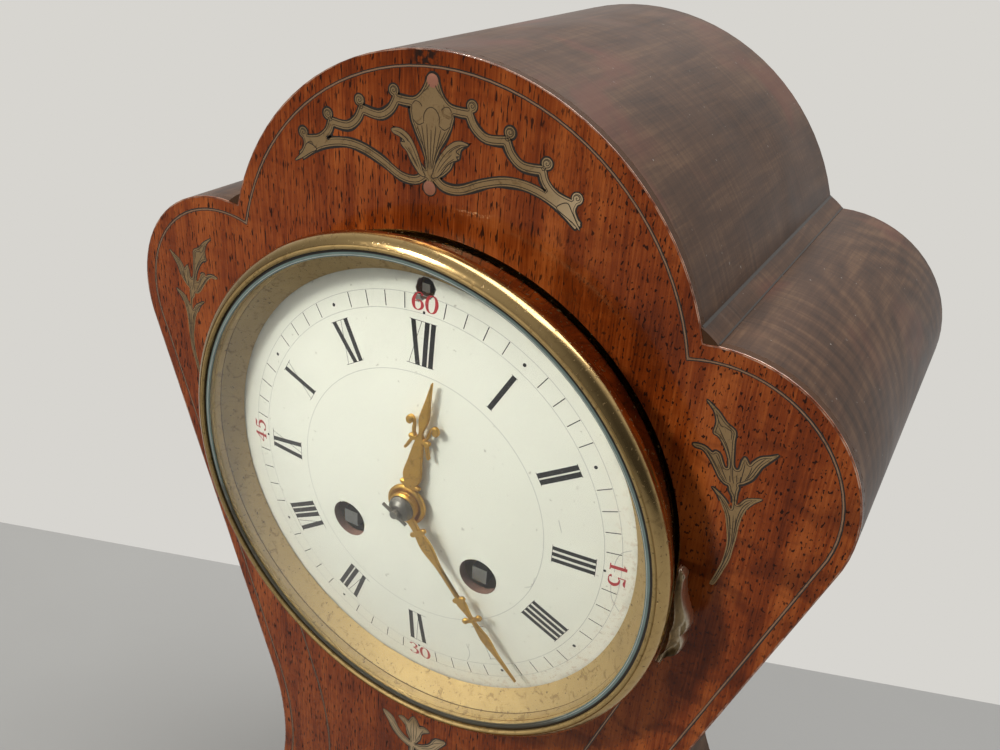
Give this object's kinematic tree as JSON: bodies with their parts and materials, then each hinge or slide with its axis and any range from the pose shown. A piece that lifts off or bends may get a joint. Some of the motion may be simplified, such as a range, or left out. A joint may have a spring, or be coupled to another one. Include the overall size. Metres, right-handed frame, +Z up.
{
  "type": "balloon clock",
  "caption": "Waisted balloon-shaped mantel clock: inlaid veneered case, hinged glazed bezel, convex enamel dial, spring-driven striking movement with pendulum and bell.",
  "frame": {"origin": "middle of the footprint at the level of the feet", "axes": "+X to the viewer's right, +Y from the dial to the back, +Z up; the dial faces -Y"},
  "size_m": [0.1538, 0.1102, 0.2426],
  "materials": {
    "veneer": "glossy French polish over red-brown veneer with dark pores",
    "side_wood": "satin dark brown polish, scratched",
    "inlay_brass": "flush engraved inlay, dulled",
    "brass": "aged polished brass",
    "gilt": "matt gilding",
    "steel": "grey worn steel",
    "enamel": "glossy white enamel on copper",
    "glass": "clear convex glass"
  },
  "bodies": {
    "case": {"carcass": "side_wood", "front_facing": "veneer", "back_board": "side_wood", "plinth": "side_wood", "feet": "brass", "stringing_inlay": "inlay_brass", "crest_inlay": "inlay_brass", "spray_inlays": "inlay_brass", "mount_ring": "brass", "sight_ring": "gilt", "dial": "enamel", "dial_plate": "brass", "hinge_leaves": "brass", "hinge_pins": "steel", "rear_ring": "brass", "straps": "brass", "strap_screws": "steel", "front_plate": "brass", "back_plate": "brass", "pillars": "brass", "bell": "brass", "bell_stand": "steel", "back_cock": "brass", "suspension_spring": "steel"},
    "bezel": {"bezel": "brass", "bezel_glass": "glass", "glass_retainer": "gilt", "thumb_piece": "brass"},
    "door": {"rear_door": "brass", "door_knob": "brass"},
    "minute": {"minute_hand": "gilt", "hand_nut": "steel", "cannon_pinion": "brass"},
    "minute_wheel": {"minute_wheel": "brass"},
    "hour": {"hour_hand": "gilt", "hour_wheel": "brass"},
    "going_barrel": {"going_barrel": "brass", "going_mainspring": "steel"},
    "going_arbor": {"going_arbor": "steel"},
    "going_click": {"going_click": "steel"},
    "second": {"second_wheel": "brass"},
    "centre": {"centre_wheel": "brass", "hand_pin": "steel"},
    "third": {"third_wheel": "brass"},
    "escape": {"escape_wheel": "brass"},
    "strike_barrel": {"strike_barrel": "brass", "strike_mainspring": "steel"},
    "strike_arbor": {"strike_arbor": "steel"},
    "strike_click": {"strike_click": "steel"},
    "strike_second": {"strike_second_wheel": "brass", "count_wheel": "brass"},
    "pin_wheel": {"pin_wheel": "brass"},
    "locking": {"locking_wheel": "brass"},
    "warning": {"warning_wheel": "brass"},
    "fly": {"fly": "brass"},
    "hammer": {"hammer": "steel"},
    "pallets": {"pallets": "steel"},
    "pendulum": {"pendulum_rod": "brass", "pendulum_bob": "brass"},
    "regulator": {"regulator_arbor": "steel"}
  },
  "joints": [
    {"name": "bezel_hinge", "type": "hinge", "parent": "case", "child": "bezel", "pos_m": [-0.0522, -0.0421, 0.161], "axis": [0, 0, -1], "range_deg": [0, 100]},
    {"name": "door_hinge", "type": "hinge", "parent": "case", "child": "door", "pos_m": [0.0539, 0.0474, 0.161], "axis": [0, 0, -1], "range_deg": [0, 110]},
    {"name": "minute_turn", "type": "hinge", "parent": "case", "child": "minute", "pos_m": [0, -0.0481, 0.161], "axis": [0, 1, 0], "continuous": true},
    {"name": "minute_wheel_turn", "type": "hinge", "parent": "case", "child": "minute_wheel", "pos_m": [-0.00509, -0.0371, 0.16609], "axis": [0, 1, 0], "continuous": true},
    {"name": "hour_turn", "type": "hinge", "parent": "case", "child": "hour", "pos_m": [0, -0.0471, 0.161], "axis": [0, 1, 0], "continuous": true},
    {"name": "escape_turn", "type": "hinge", "parent": "case", "child": "escape", "pos_m": [0, -0.0121, 0.18111], "axis": [0, 1, 0], "continuous": true},
    {"name": "third_turn", "type": "hinge", "parent": "case", "child": "third", "pos_m": [-0.00183, -0.0251, 0.1714], "axis": [0, 1, 0], "continuous": true},
    {"name": "centre_turn", "type": "hinge", "parent": "case", "child": "centre", "pos_m": [0, -0.0321, 0.161], "axis": [0, 1, 0], "continuous": true},
    {"name": "second_turn", "type": "hinge", "parent": "case", "child": "second", "pos_m": [0.01052, -0.0121, 0.16485], "axis": [0, 1, 0], "continuous": true},
    {"name": "going_barrel_turn", "type": "hinge", "parent": "case", "child": "going_barrel", "pos_m": [0.0154, -0.0191, 0.1494], "axis": [0, 1, 0], "continuous": true},
    {"name": "fly_turn", "type": "hinge", "parent": "case", "child": "fly", "pos_m": [-0.02169, -0.0191, 0.18342], "axis": [0, 1, 0], "continuous": true},
    {"name": "warning_turn", "type": "hinge", "parent": "case", "child": "warning", "pos_m": [-0.01598, -0.0241, 0.18542], "axis": [0, 1, 0], "continuous": true},
    {"name": "locking_turn", "type": "hinge", "parent": "case", "child": "locking", "pos_m": [-0.00859, -0.0291, 0.18333], "axis": [0, 1, 0], "continuous": true},
    {"name": "pin_wheel_turn", "type": "hinge", "parent": "case", "child": "pin_wheel", "pos_m": [-0.01258, -0.0201, 0.17486], "axis": [0, 1, 0], "continuous": true},
    {"name": "strike_second_turn", "type": "hinge", "parent": "case", "child": "strike_second", "pos_m": [-0.01951, -0.0121, 0.16507], "axis": [0, 1, 0], "continuous": true},
    {"name": "strike_barrel_turn", "type": "hinge", "parent": "case", "child": "strike_barrel", "pos_m": [-0.0154, -0.0191, 0.1494], "axis": [0, 1, 0], "continuous": true},
    {"name": "going_wind", "type": "hinge", "parent": "case", "child": "going_arbor", "pos_m": [0.0154, -0.0391, 0.1494], "axis": [0, 1, 0], "range_deg": [0, 1620]},
    {"name": "strike_wind", "type": "hinge", "parent": "case", "child": "strike_arbor", "pos_m": [-0.0154, -0.0391, 0.1494], "axis": [0, 1, 0], "range_deg": [0, 1620]},
    {"name": "going_click_lift", "type": "hinge", "parent": "case", "child": "going_click", "pos_m": [0.02038, -0.0361, 0.14143], "axis": [0, 1, 0], "range_deg": [0, 10], "stiffness_Nm_per_rad": 0.001},
    {"name": "strike_click_lift", "type": "hinge", "parent": "case", "child": "strike_click", "pos_m": [-0.02038, -0.0361, 0.14143], "axis": [0, -1, 0], "range_deg": [0, 10], "stiffness_Nm_per_rad": 0.001},
    {"name": "hammer_lift", "type": "hinge", "parent": "case", "child": "hammer", "pos_m": [-0.0285, 0.0109, 0.178], "axis": [0, 1, 0], "range_deg": [0, 20], "stiffness_Nm_per_rad": 0.01},
    {"name": "pendulum_swing", "type": "hinge", "parent": "case", "child": "pendulum", "pos_m": [0, 0.0052, 0.19061], "axis": [0, 1, 0], "range_deg": [-3.5, 3.5], "deforming": ["suspension_spring"]},
    {"name": "pallet_rock", "type": "hinge", "parent": "case", "child": "pallets", "pos_m": [0, -0.0121, 0.19061], "axis": [0, 1, 0], "range_deg": [-3.5, 3.5]},
    {"name": "regulator_turn", "type": "hinge", "parent": "case", "child": "regulator", "pos_m": [0, -0.0391, 0.2041], "axis": [0, 1, 0], "range_deg": [-180, 180]}
  ],
  "couplings": [
    {"joint": "minute_wheel_turn", "follows": "minute_turn", "ratio": -0.33333},
    {"joint": "hour_turn", "follows": "minute_turn", "ratio": 0.083333},
    {"joint": "second_turn", "follows": "going_barrel_turn", "ratio": -8},
    {"joint": "centre_turn", "follows": "going_barrel_turn", "ratio": 48},
    {"joint": "third_turn", "follows": "going_barrel_turn", "ratio": -480},
    {"joint": "escape_turn", "follows": "going_barrel_turn", "ratio": 5760},
    {"joint": "strike_second_turn", "follows": "strike_barrel_turn", "ratio": -8},
    {"joint": "pin_wheel_turn", "follows": "strike_barrel_turn", "ratio": 72},
    {"joint": "locking_turn", "follows": "strike_barrel_turn", "ratio": -576},
    {"joint": "warning_turn", "follows": "strike_barrel_turn", "ratio": 4032},
    {"joint": "fly_turn", "follows": "strike_barrel_turn", "ratio": -27648},
    {"joint": "pallet_rock", "follows": "pendulum_swing", "ratio": 1}
  ]
}
